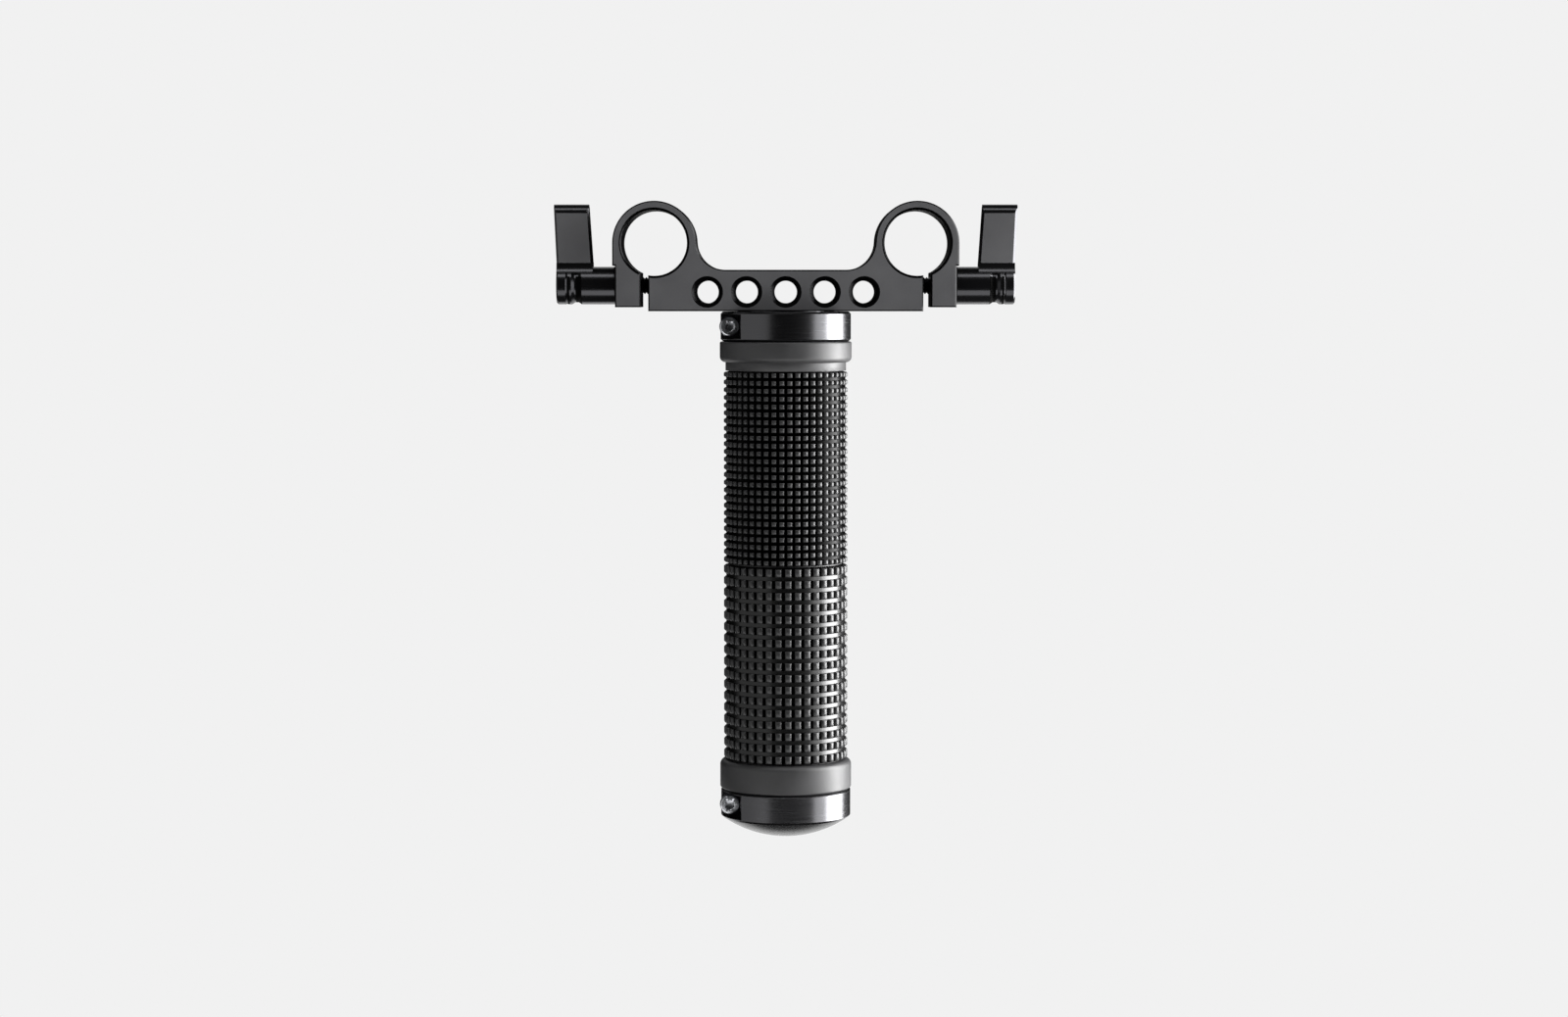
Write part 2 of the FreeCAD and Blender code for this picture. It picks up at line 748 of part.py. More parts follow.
def grip_sleeve():
    """Hard plastic sleeve under the rubber, with tabs that key into both lock rings."""
    body = new_body("grip_sleeve")
    profile = new_sketch(body, "sleeve_profile", "XZ_Plane")
    rectangle(profile, SLEEVE_BORE, f"-{GRIP_LENGTH}", SLEEVE_RADIUS, "0")
    turned(body, "sleeve", profile, "V_Axis")
    tabs = new_sketch(body, "tab_profile", "XZ_Plane")
    rectangle(tabs, SLEEVE_BORE, "-sizes.tab_length", SLEEVE_RADIUS, "sizes.tab_length")
    rectangle(
        tabs,
        SLEEVE_BORE,
        f"-{GRIP_LENGTH} - sizes.tab_length",
        SLEEVE_RADIUS,
        f"-{GRIP_LENGTH} + sizes.tab_length",
    )
    tab = turned(body, "tab", tabs, "V_Axis", "sizes.tab_angle")
    around(body, "tabs", tab, "sizes.tab_count")
    place(body, z=GRIP_TOP, rotation=ring_rotation())
    return body


def ring_point(radius, angle, level):
    return FreeCAD.Vector(radius * math.cos(angle), radius * math.sin(angle), level)


def flat_face(points):
    return Part.Face(Part.makePolygon(points + points[:1]))


def pointed_stud(corners, middle, outward, crown):
    """Four faces that rise from the root corners to one point."""
    apex = outward * crown + middle
    return [flat_face([corners[side - 1], corners[side], apex]) for side in range(4)]


def flat_stud(corners, middle, outward, crown):
    """Four sloping sides and a flat crown."""
    half_width = value_of(sheet, "coarse_width / 2")
    half_height = value_of(sheet, "coarse_height / 2")
    along = FreeCAD.Vector(-outward.y, outward.x, 0)
    top = []
    for turn, lift in ((-1, 1), (1, 1), (1, -1), (-1, -1)):
        offset = along * (turn * half_width) + Z_AXIS * (lift * half_height)
        top.append(outward * crown + middle + offset)
    faces = [
        flat_face([corners[side - 1], corners[side], top[side], top[side - 1]])
        for side in range(4)
    ]
    return [*faces, flat_face(top)]


def stud_field(stud, top, end, rows, columns, root, crown):
    """Rows of studs side by side round the grip, between two levels. root is the
    radius of the grooves' corners."""
    faces = []
    step = 2 * math.pi / columns
    pitch = (top - end) / rows
    for row in range(rows):
        high, low = top - row * pitch, top - (row + 1) * pitch
        middle = Z_AXIS * ((high + low) / 2)
        for column in range(columns):
            left, right = column * step, (column + 1) * step
            corners = [
                ring_point(root, left, high),
                ring_point(root, right, high),
                ring_point(root, right, low),
                ring_point(root, left, low),
            ]
            outward = ring_point(1, (left + right) / 2, 0)
            faces += stud(corners, middle, outward, crown)
    return faces


def root_polygon(radius, columns, level):
    step = 2 * math.pi / columns
    points = [ring_point(radius, number * step, level) for number in range(columns)]
    return Part.makePolygon(points + points[:1])


def level_circle(radius, level):
    return Part.Wire(Part.makeCircle(radius, Z_AXIS * level, Z_AXIS))


def flat_ring(outer, inner):
    """The face between two closed outlines at one level."""
    return Part.makeFace([outer, inner], "Part::FaceMakerBullseye")


def rubber_grip():
    """Rubber overmould: two flanges, a plain band, and rows of fine pointed studs
    above rows of coarse flat ones. Its skin is put together face by face."""
    piece = doc.addObject("Part::Feature", "rubber_grip")
    piece.Label = "rubber_grip"
    subparts.append(piece)
    bore = value_of(sheet, RUBBER_BORE)
    band = value_of(sheet, BAND_RADIUS)
    flange = value_of(sheet, FLANGE_RADIUS)
    edge = value_of(sheet, "flange_edge")
    crown = band + value_of(sheet, "stud_proud")
    groove_radius = band - value_of(sheet, "groove_drop")
    waist = groove_radius - value_of(sheet, "groove_drop")
    fine_rows = round(value_of(sheet, "fine_rows"))
    fine_columns = round(value_of(sheet, "fine_columns"))
    coarse_rows = round(value_of(sheet, "coarse_rows"))
    coarse_columns = round(value_of(sheet, "coarse_columns"))
    fine_root = groove_radius / math.cos(math.pi / fine_columns)
    coarse_root = groove_radius / math.cos(math.pi / coarse_columns)

    foot = -value_of(sheet, GRIP_LENGTH)
    shoulder = -value_of(sheet, "upper_flange")
    fine_top = shoulder - value_of(sheet, "smooth_band")
    coarse_top = fine_top - value_of(sheet, "fine_rows * fine_pitch")
    fine_end = coarse_top + value_of(sheet, "field_groove")
    coarse_end = foot + value_of(sheet, "lower_flange")

    def at(radius, level):
        return FreeCAD.Vector(radius, 0, level)

    def flange_turn(band_level, side):
        """Quarter round from the band out to the flange, up or down."""
        radius = flange - band
        lean = radius * math.sqrt(0.5)
        flange_level = band_level + side * radius
        middle = at(band + lean, flange_level - side * lean)
        return Part.Arc(at(band, band_level), middle, at(flange, flange_level)).toShape()

    outline_points = [
        at(flange, shoulder + flange - band),
        at(flange, -edge),
        at(flange - edge, 0),
        at(bore, 0),
        at(bore, foot),
        at(flange - edge, foot),
        at(flange, foot + edge),
        at(flange, coarse_end - flange + band),
    ]
    edges = [Part.makeLine(a, b) for a, b in itertools.pairwise(outline_points)]
    edges += [
        flange_turn(shoulder, 1),
        flange_turn(coarse_end, -1),
        Part.makeLine(at(band, shoulder), at(band, fine_top)),
        Part.makeLine(at(waist, fine_end), at(waist, coarse_top)),
    ]
    faces = [line.revolve(FreeCAD.Vector(), Z_AXIS, 360) for line in edges]
    fine_edges = [root_polygon(fine_root, fine_columns, z) for z in (fine_top, fine_end)]
    coarse_edges = [
        root_polygon(coarse_root, coarse_columns, z) for z in (coarse_top, coarse_end)
    ]
    faces += [
        flat_ring(level_circle(band, fine_top), fine_edges[0]),
        flat_ring(fine_edges[1], level_circle(waist, fine_end)),
        flat_ring(coarse_edges[0], level_circle(waist, coarse_top)),
        flat_ring(level_circle(band, coarse_end), coarse_edges[1]),
    ]
    faces += stud_field(
        pointed_stud, fine_top, fine_end, fine_rows, fine_columns, fine_root, crown
    )
    faces += stud_field(
        flat_stud, coarse_top, coarse_end, coarse_rows, coarse_columns, coarse_root, crown
    )
    skin = Part.Compound(faces)
    skin.sewShape()
    solid = Part.Solid(Part.Shell(skin.Faces))
    if solid.Volume < 0:
        solid.reverse()
    piece.Shape = solid
    place(piece, z=GRIP_TOP)
    return piece


def ring_rotation():
    """Lock rings, their bolts and the keyed sleeve share one turn about the handle."""
    return FreeCAD.Rotation(FreeCAD.Vector(0, 0, 1), value_of(sheet, "ring_turn"))


def lock_ring(label, level, notch_side):
    """Split clamping ring, its slit at local -X and its pinch bolt along local Y.
    notch_side is 1 where the sleeve's tabs enter from above, -1 from below."""
    body = new_body(label)
    half = "(sizes.lock_ring_height / 2)"
    radius = LOCK_RING_RADIUS
    edge = "sizes.lock_ring_edge"
    profile = new_sketch(body, "ring_profile", "XZ_Plane")
    outline(
        profile,
        [
            (RING_BORE, f"-{half}"),
            (f"{radius} - {edge}", f"-{half}"),
            (radius, f"-{half} + {edge}"),
            (radius, f"{half} - {edge}"),
            (f"{radius} - {edge}", half),
            (RING_BORE, half),
        ],
    )
    turned(body, "ring", profile, "V_Axis")

    notch_depth = "(sizes.tab_length - sizes.joint_gap + sizes.tab_clearance)"
    sign = "" if notch_side > 0 else "-"
    levels = [f"{sign}({half} - {notch_depth})", f"{sign}({half} + 1)"]
    if notch_side < 0:
        levels.reverse()
    notches = new_sketch(body, "notch_profile", "XZ_Plane")
    rectangle(
        notches,
        f"{RING_BORE} - 1",
        levels[0],
        f"{SLEEVE_RADIUS} + sizes.tab_clearance",
        levels[1],
    )
    notch = turned_cut(
        body, "notch", notches, "V_Axis", "sizes.tab_angle + sizes.tab_clearance_angle"
    )
    around(body, "notches", notch, "sizes.tab_count")

    slit = new_sketch(body, "slit_profile", "XY_Plane")
    rectangle(
        slit, f"-({radius} + 1)", "-sizes.slit_width / 2", "0", "sizes.slit_width / 2"
    )
    pocket(body, "slit", slit, "2 * sizes.lock_ring_height", symmetric=True)
    thread = new_sketch(body, "thread_circle", "XZ_Plane")
    circle(
        thread,
        f"-{RING_BOLT_OFFSET}",
        "0",
        "sizes.ring_bolt_radius + sizes.thread_clearance",
    )
    pocket(
        body,
        "thread",
        thread,
        "sizes.ring_bolt_length - sizes.ring_bolt_seat + sizes.ring_bolt_runout",
    )
    clear = new_sketch(body, "clear_circle", "XZ_Plane")
    circle(
        clear,
        f"-{RING_BOLT_OFFSET}",
        "0",
        "sizes.ring_bolt_radius + sizes.ring_bolt_clearance",
    )
    pocket(
        body,
        "clear_hole",
        clear,
        "sizes.ring_bolt_seat + sizes.ring_bolt_clearance",
        reverse=True,
    )
    seat = new_sketch(body, "seat_profile", "XZ_Plane", "sizes.ring_bolt_seat")
    floor = (
        f"({RING_BOLT_OFFSET} - sizes.ring_head_radius - sizes.ring_pocket_clearance)"
    )
    rectangle(
        seat,
        f"-({radius} + 1)",
        "-sizes.ring_pocket_height / 2",
        f"-{floor}",
        "sizes.ring_pocket_height / 2",
    )
    pocket(body, "head_pocket", seat, radius, reverse=True)
    place(body, z=level, rotation=ring_rotation())
    return body


def ring_bolt(label, level):
    """The pinch bolt of a lock ring, its head towards the front."""
    body = cap_screw(label, "ring_bolt")
    offset = RING_BOLT_OFFSET
    seat = "sizes.ring_bolt_seat"
    turn = "sizes.ring_turn"
    lying = FreeCAD.Rotation(FreeCAD.Vector(1, 0, 0), 90)
    place(
        body,
        x=f"-{offset} * cos({turn}) + {seat} * sin({turn})",
        y=f"-{offset} * sin({turn}) - {seat} * cos({turn})",
        z=level,
        rotation=ring_rotation() * lying,
    )
    return body


def end_plug():
    """Domed plastic plug with a split spigot and a snap bead."""
    body = new_body("end_plug")
    rim = f"({LOCK_RING_RADIUS} - sizes.plug_step)"
    dome = "sizes.plug_dome"
    spigot = f"({TUBE_BORE} - sizes.spigot_fit)"
    hollow = f"({spigot} - sizes.spigot_wall)"
    end = "sizes.spigot_length"
    bead = f"({spigot} + sizes.bead_height)"
    profile = new_sketch(body, "plug_profile", "XZ_Plane")
    outline(
        profile,
        [
            ("0", f"-{dome}", f"({rim}^2 + {dome}^2) / (2 * {dome})", 1),
            (rim, "0"),
            (spigot, "0"),
            (spigot, f"{end} - 3 * sizes.bead_length"),
            (bead, f"{end} - 2 * sizes.bead_length"),
            (bead, f"{end} - sizes.bead_length"),
            (f"{spigot} - sizes.bead_height", end),
            (hollow, end),
            (hollow, "0"),
            ("0", "0"),
        ],
    )
    turned(body, "plug", profile, "V_Axis")
    slots = new_sketch(body, "slot_profile", "XY_Plane", f"{end} / 4")
    rectangle(
        slots,
        f"-{rim}",
        "-sizes.spigot_slot / 2",
        rim,
        "sizes.spigot_slot / 2",
    )
    pocket(body, "spigot_slots", slots, end, reverse=True)
    place(body, z=TUBE_BOTTOM)
    return body


clamp_block()
lever("left_lever", FreeCAD.Rotation(Z_AXIS, 180), "-")
lever("right_lever", FreeCAD.Rotation(), "")
set_screw("left_clamp_screw", FreeCAD.Rotation(Y_AXIS, -90), "-")
set_screw("right_clamp_screw", FreeCAD.Rotation(Y_AXIS, 90), "")
core_tube()
corners = [("-", "-"), ("", "-"), ("-", ""), ("", "")]
for number, (across, along) in enumerate(corners, start=1):
    screw = cap_screw(f"mounting_screw_{number}", "mount_screw")
    place(
        screw,
        x=f"{across}{MOUNT_X}",
        y=f"{along}sizes.mount_row",
        z=f"{BAR_BOTTOM} - sizes.tube_end",
        rotation=FreeCAD.Rotation(X_AXIS, 180),
    )
grip_sleeve()
rubber_grip()
lock_ring("upper_lock_ring", UPPER_RING_Z, -1)
ring_bolt("upper_ring_bolt", UPPER_RING_Z)
lock_ring("lower_lock_ring", LOWER_RING_Z, 1)
ring_bolt("lower_ring_bolt", LOWER_RING_Z)
end_plug()
doc.recompute()

for thing in doc.Objects:
    if "Invalid" in thing.State or "Error" in thing.State:
        raise RuntimeError(f"{thing.Label} failed: {thing.State}")
for piece in subparts:
    if piece.Shape.isNull() or not piece.Shape.isValid():
        raise RuntimeError(f"{piece.Label} has no valid shape")
    if len(piece.Shape.Solids) != 1:
        raise RuntimeError(f"{piece.Label} has {len(piece.Shape.Solids)} solids")

os.makedirs("parts", exist_ok=True)
for piece in subparts:
    piece.Shape.exportStep(f"parts/{piece.Label}.step")
    print(piece.Label, round(piece.Shape.Volume, 1))
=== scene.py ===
import bmesh
import bpy
import math
import numpy as np
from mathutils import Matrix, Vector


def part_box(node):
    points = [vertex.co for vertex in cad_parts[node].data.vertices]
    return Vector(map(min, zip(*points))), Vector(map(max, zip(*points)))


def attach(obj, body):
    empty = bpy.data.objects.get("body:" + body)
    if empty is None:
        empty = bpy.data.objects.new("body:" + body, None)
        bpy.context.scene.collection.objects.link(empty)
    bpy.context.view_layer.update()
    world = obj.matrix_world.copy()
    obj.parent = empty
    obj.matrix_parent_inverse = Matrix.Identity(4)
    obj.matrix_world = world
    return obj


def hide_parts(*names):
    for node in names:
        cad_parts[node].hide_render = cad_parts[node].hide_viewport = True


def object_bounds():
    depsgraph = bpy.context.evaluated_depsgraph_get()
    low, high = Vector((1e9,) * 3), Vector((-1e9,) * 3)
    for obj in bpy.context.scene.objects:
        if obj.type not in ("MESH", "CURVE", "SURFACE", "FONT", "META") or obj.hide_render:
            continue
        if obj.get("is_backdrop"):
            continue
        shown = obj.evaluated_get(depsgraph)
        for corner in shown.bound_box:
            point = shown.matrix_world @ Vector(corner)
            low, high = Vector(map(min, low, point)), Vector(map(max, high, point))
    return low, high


# Rod mount handle: a split clamp block with two turning levers over a studded hand grip.
# Metres in Blender, millimetres in the tables of values. Front is -Y, up is +Z.

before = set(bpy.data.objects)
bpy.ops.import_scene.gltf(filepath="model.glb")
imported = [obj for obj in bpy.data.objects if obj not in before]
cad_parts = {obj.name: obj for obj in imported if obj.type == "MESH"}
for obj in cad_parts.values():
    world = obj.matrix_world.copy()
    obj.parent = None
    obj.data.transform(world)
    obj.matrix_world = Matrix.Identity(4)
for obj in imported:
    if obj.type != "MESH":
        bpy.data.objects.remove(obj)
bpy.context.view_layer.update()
mm = 0.001
print("frame loaded:", len(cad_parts), "solids")


# sRGB hex to linear: c / 12.92 up to 0.04045, above it ((c + 0.055) / 1.055) to the 2.4.
def colour(hexCode):
    channels = [int(hexCode[i : i + 2], 16) / 255 for i in (1, 3, 5)]
    linear = [c / 12.92 if c <= 0.04045 else ((c + 0.055) / 1.055) ** 2.4 for c in channels]
    return (*linear, 1.0)


# One node with its settings; an input is a value, or a socket to link from. By number, a
# Map Range has its value at 0, from min and max at 1 and 2, to min and max at 3 and 4; a
# Mix has its factor at 0, and two numbers at 2 and 3 or two colours at 6 and 7.
def addNode(tree, kind, inputs, **settings):
    node = tree.nodes.new("ShaderNode" + kind)
    for name, value in settings.items():
        setattr(node, name, value)
    for key, value in inputs.items():
        if isinstance(value, bpy.types.NodeSocket):
            tree.links.new(value, node.inputs[key])
        else:
            node.inputs[key].default_value = value
    return node.outputs


def newMaterial(name):
    material = bpy.data.materials.new(name)
    material.use_nodes = True
    material.node_tree.nodes.clear()
    return material, material.node_tree


def finish(tree, shader):
    surface = addNode(tree, "BsdfPrincipled", shader)
    addNode(tree, "OutputMaterial", {"Surface": surface[0]})


# From min and max of a Map Range over a noise: nearly all its values lie in the first,
# and the second leaves the lowest at the first colour, so that the rest reads as patches.
noiseSpan = {1: 0.3, 2: 0.7}
patchSpan = {1: 0.35, 2: 0.7}

# Black anodised aluminium, milled. The front and back faces are bead blasted and read
# as an even satin grey; edges, bores and turned hubs are cut bright under the same dye
# and read as black with thin soft highlights.
blockFinish = {
    "name": "bead-blasted anodised aluminium",
    "faceTurn": 0.998,  # a blasted face's normal is this much along y, or more
    "faceFrom": -40.0,  # blasted faces lie above this height
    "faceColour": "#58585a",
    "faceTint": "#606062",
    "faceRoughness": 0.57,
    "faceSpread": (-0.06, 0.05),  # from the roughness above, down and up
    "faceMetallic": 0.3,
    "blastGrain": 0.45,  # real grit is 0.1 mm, drawn coarser so that it shows
    "blastDepth": 0.012,
    "cloudSize": 9.0,
    "cutColour": "#0a0a0b",
    "cutRoughness": 0.3,
    "cutSpread": (-0.03, 0.03),
    "cutMetallic": 0.9,
    "cutterFeed": 0.35,  # about twice the real tool marks
    "cutterDepth": 0.0006,
    "threadLead": 1.27,  # 1/4 inch, 20 to the inch
    "threadDepth": 0.35,
    "threadFade": (0.1, 0.25),  # the thread fades out over this depth behind the wall
    "holePitch": 8.95,
    "holeHeight": -11.17,
    "holeRadius": 2.6,
    "holesReach": 21.0,  # accessory holes lie within this of the middle
    "boreAt": 30.0,
    "boreShadeRim": 8.05,  # painted shade: within this of a rod bore's axis the blasted face takes the cut's black
    # Painted shade: bands over the lever's neck groove, below the height that follows, are coloured
    # near black as if in shade.
    "grooves": (),  # painted shade: middle and half width of each near black band, along the hub
    "groovesBelow": 0.0,
    "grooveShadeColour": "#020202",
    "grooveRoughness": 0.8,  # dull, so that no light glints in a groove
}
leverFinish = {
    **blockFinish,
    "name": "anodised aluminium lever",
    "faceColour": "#5b5b5d",
    "faceTint": "#636365",
    "cutColour": "#3a3a3c",
    "cutRoughness": 0.2,
    "faceFrom": -4.5,
    "threadDepth": 0.0,
    "boreShadeRim": 0.0,
    # Painted shade bands over the neck groove, on the lower half of the hub.
    "grooves": ((47.5, 0.7), (49.85, 0.25)),
    "groovesBelow": -7.6,
}


# Flat is 1 on blasted faces and 0 on cut ones. Cut walls carry tool marks, a sine of
# y / feed. The nearest accessory hole's wall carries a thread, a triangle wave of
# y / lead + angle / turn that runs from 0 to 0.5, where angle is about the hole's axis.
def milledAluminium(values):
    material, tree = newMaterial(values["name"])
    place = addNode(tree, "TexCoord", {})["Object"]
    parts = addNode(tree, "SeparateXYZ", {0: place})
    outward = addNode(tree, "Math", {0: parts["X"]}, operation="ABSOLUTE")[0]

    normal = addNode(tree, "NewGeometry", {})["True Normal"]
    spaces = {"vector_type": "NORMAL", "convert_from": "WORLD", "convert_to": "OBJECT"}
    normal = addNode(tree, "VectorTransform", {0: normal}, **spaces)[0]
    facing = addNode(tree, "SeparateXYZ", {0: normal})["Y"]
    facing = addNode(tree, "Math", {0: facing}, operation="ABSOLUTE")[0]
    flat = {0: facing, 1: values["faceTurn"]}
    flat = addNode(tree, "Math", flat, operation="GREATER_THAN")[0]
    above = {0: parts["Z"], 1: values["faceFrom"] * mm}
    above = addNode(tree, "Math", above, operation="GREATER_THAN")[0]
    flat = addNode(tree, "Math", {0: flat, 1: above}, operation="MULTIPLY")[0]
    # Painted shade: a ring of the blasted face round each rod bore is coloured as the black cut
    # finish.
    if values["boreShadeRim"]:
        beside = {0: outward, 1: values["boreAt"] * mm}
        beside = addNode(tree, "Math", beside, operation="SUBTRACT")[0]
        fromBore = addNode(tree, "CombineXYZ", {0: beside, 1: parts["Z"]})[0]
        fromBore = addNode(tree, "VectorMath", {0: fromBore}, operation="LENGTH")["Value"]
        skin = {0: fromBore, 1: values["boreShadeRim"] * mm}
        skin = addNode(tree, "Math", skin, operation="GREATER_THAN")[0]
        flat = addNode(tree, "Math", {0: flat, 1: skin}, operation="MULTIPLY")[0]

    noise = {"Vector": place, "Scale": 1 / (values["cloudSize"] * mm), "Detail": 2.0}
    cloud = addNode(tree, "TexNoise", noise)["Fac"]
    noise = {"Vector": place, "Scale": 1 / (values["blastGrain"] * mm), "Detail": 4.0}
    grit = addNode(tree, "TexNoise", noise)["Fac"]
    patch = addNode(tree, "MapRange", {0: cloud, **patchSpan})[0]
    face = {0: patch, 6: colour(values["faceColour"]), 7: colour(values["faceTint"])}
    face = addNode(tree, "Mix", face, data_type="RGBA")[2]

    # Painted shade: within the bands along the hub and below their height, the cut colour turns
    # near black.
    shade = 0.0
    for middle, half in values["grooves"]:
        within = {0: outward, 1: middle * mm, 2: half * mm}
        within = addNode(tree, "Math", within, operation="COMPARE")[0]
        shade = addNode(tree, "Math", {0: within, 1: shade}, operation="ADD")[0]
    below = {0: parts["Z"], 1: values["groovesBelow"] * mm}
    below = addNode(tree, "Math", below, operation="LESS_THAN")[0]
    shade = addNode(tree, "Math", {0: below, 1: shade}, operation="MULTIPLY")[0]
    cut = {0: shade, 6: colour(values["cutColour"]), 7: colour(values["grooveShadeColour"])}
    cut = addNode(tree, "Mix", cut, data_type="RGBA")[2]
    dyed = addNode(tree, "Mix", {0: flat, 6: cut, 7: face}, data_type="RGBA")[2]

    low, high = (values["faceRoughness"] + step for step in values["faceSpread"])
    rough = addNode(tree, "MapRange", {0: grit, **noiseSpan, 3: low, 4: high})[0]
    low, high = (values["cutRoughness"] + step for step in values["cutSpread"])
    smooth = addNode(tree, "MapRange", {0: cloud, **noiseSpan, 3: low, 4: high})[0]
    smooth = addNode(tree, "Mix", {0: shade, 2: smooth, 3: values["grooveRoughness"]})[0]
    roughness = addNode(tree, "Mix", {0: flat, 2: smooth, 3: rough})[0]
    metallic = {0: flat, 3: values["cutMetallic"], 4: values["faceMetallic"]}
    metallic = addNode(tree, "MapRange", metallic)[0]

    feed = math.tau / (values["cutterFeed"] * mm)
    marks = addNode(tree, "Math", {0: parts["Y"], 1: feed}, operation="MULTIPLY")[0]
    marks = addNode(tree, "Math", {0: marks}, operation="SINE")[0]
    marks = addNode(tree, "Math", {0: marks, 1: values["cutterDepth"]}, operation="MULTIPLY")[0]
    blast = addNode(tree, "Math", {0: grit, 1: values["blastDepth"]}, operation="MULTIPLY")[0]
    height = addNode(tree, "Mix", {0: flat, 2: marks, 3: blast})[0]
    if values["threadDepth"]:
        half = values["holePitch"] / 2 * mm
        across = addNode(tree, "Math", {0: parts["X"], 1: half, 2: -half}, operation="WRAP")[0]
        up = {0: parts["Z"], 1: values["holeHeight"] * mm}
        up = addNode(tree, "Math", up, operation="SUBTRACT")[0]
        angle = addNode(tree, "Math", {0: up, 1: across}, operation="ARCTAN2")[0]
        along = {0: parts["Y"], 1: values["threadLead"] * mm}
        along = addNode(tree, "Math", along, operation="DIVIDE")[0]
        wound = {0: angle, 1: 1 / math.tau, 2: along}
        wound = addNode(tree, "Math", wound, operation="MULTIPLY_ADD")[0]
        tooth = addNode(tree, "Math", {0: wound, 1: 0.5}, operation="PINGPONG")[0]
        away = addNode(tree, "CombineXYZ", {0: across, 1: up})[0]
        away = addNode(tree, "VectorMath", {0: away}, operation="LENGTH")["Value"]
        near, far = ((values["holeRadius"] + step) * mm for step in values["threadFade"])
        inside = {0: away, 1: near, 2: far, 3: 2 * values["threadDepth"], 4: 0.0}
        inside = addNode(tree, "MapRange", inside)[0]
        middle = {0: outward, 1: values["holesReach"] * mm}
        middle = addNode(tree, "Math", middle, operation="LESS_THAN")[0]
        inside = addNode(tree, "Math", {0: inside, 1: middle}, operation="MULTIPLY")[0]
        height = {0: inside, 1: tooth, 2: height}
        height = addNode(tree, "Math", height, operation="MULTIPLY_ADD")[0]
    bump = addNode(tree, "Bump", {"Height": height, "Distance": mm, "Strength": 1.0})[0]
    look = {"Base Color": dyed, "Metallic": metallic, "Roughness": roughness, "Normal": bump}
    finish(tree, look)
    return material


blockMaterial = milledAluminium(blockFinish)
leverMaterial = milledAluminium(leverFinish)
print("milled aluminium made")


# Turned rings and tube: black anodised over a fine smooth cut, deep black with a hard
# bright streak down the side that faces the window light.
ringFinish = {
    "name": "turned anodised aluminium ring",
    "colour": "#58585a",
    "tint": "#5e5e60",
    "roughness": 0.25,
    "spread": (-0.02, 0.03),
    "feed": 0.3,
    "depth": 0.0002,
    "scratchSize": 8.0,
    "squeeze": 30.0,  # scratches are this many times longer round the axis than along it
}
tubeFinish = {**ringFinish, "name": "anodised aluminium tube", "roughness": 0.3}


# Tool marks run round the axis: a sine of z / feed with long faint scratches.
def turnedAluminium(values):
    material, tree = newMaterial(values["name"])
    place = addNode(tree, "TexCoord", {})["Object"]
    parts = addNode(tree, "SeparateXYZ", {0: place})
    squeezed = addNode(tree, "Mapping", {0: place, "Scale": (1, 1, values["squeeze"])})[0]
    noise = {"Vector": squeezed, "Scale": 1 / (values["scratchSize"] * mm), "Detail": 3.0}
    scratches = addNode(tree, "TexNoise", noise)["Fac"]
    feed = math.tau / (values["feed"] * mm)
    marks = addNode(tree, "Math", {0: parts["Z"], 1: feed}, operation="MULTIPLY")[0]
    marks = addNode(tree, "Math", {0: marks}, operation="SINE")[0]
    height = addNode(tree, "Math", {0: marks, 1: scratches}, operation="ADD")[0]
    height = addNode(tree, "Math", {0: height, 1: values["depth"]}, operation="MULTIPLY")[0]
    bump = addNode(tree, "Bump", {"Height": height, "Distance": mm, "Strength": 1.0})[0]
    low, high = (values["roughness"] + step for step in values["spread"])
    rough = addNode(tree, "MapRange", {0: scratches, **noiseSpan, 3: low, 4: high})[0]
    dyed = {0: scratches, 6: colour(values["colour"]), 7: colour(values["tint"])}
    dyed = addNode(tree, "Mix", dyed, data_type="RGBA")[2]
    finish(tree, {"Base Color": dyed, "Metallic": 1.0, "Roughness": rough, "Normal": bump})
    return material


ringMaterial = turnedAluminium(ringFinish)
tubeMaterial = turnedAluminium(tubeFinish)


# Moulded rubber: near black and matt, with a soft wide sheen where light grazes it. The
# attribute read here is painted shade: 0 on skin, a share of the way to near black on the
# studs, 1 on a groove's floor, painted near black and slightly glossy, and 2 on a floor so
# narrow that it is painted black with its gloss taken away, as if no light came back from it.
rubberFinish = {
    "colour": "#2f2f30",
    "bloom": "#373738",
    "bloomSize": 7.0,
    "roughness": 0.48,
    "spread": (-0.04, 0.06),
    "grooveShadeColour": "#020202",
    "grooveRoughness": 0.28,
    "pore": 0.3,
    "poreDepth": 0.005,
    "ior": 1.52,
}
rubberMaterial, tree = newMaterial("moulded rubber")
place = addNode(tree, "TexCoord", {})["Object"]
groove = addNode(tree, "Attribute", {}, attribute_name="groove")["Fac"]
noise = {"Vector": place, "Scale": 1 / (rubberFinish["pore"] * mm), "Detail": 3.0}
pores = addNode(tree, "TexNoise", noise)["Fac"]
noise = {"Vector": place, "Scale": 1 / (rubberFinish["bloomSize"] * mm), "Detail": 3.0}
bloom = addNode(tree, "TexNoise", noise)["Fac"]
patch = addNode(tree, "MapRange", {0: bloom, **patchSpan})[0]
skin = {0: patch, 6: colour(rubberFinish["colour"]), 7: colour(rubberFinish["bloom"])}
skin = addNode(tree, "Mix", skin, data_type="RGBA")[2]
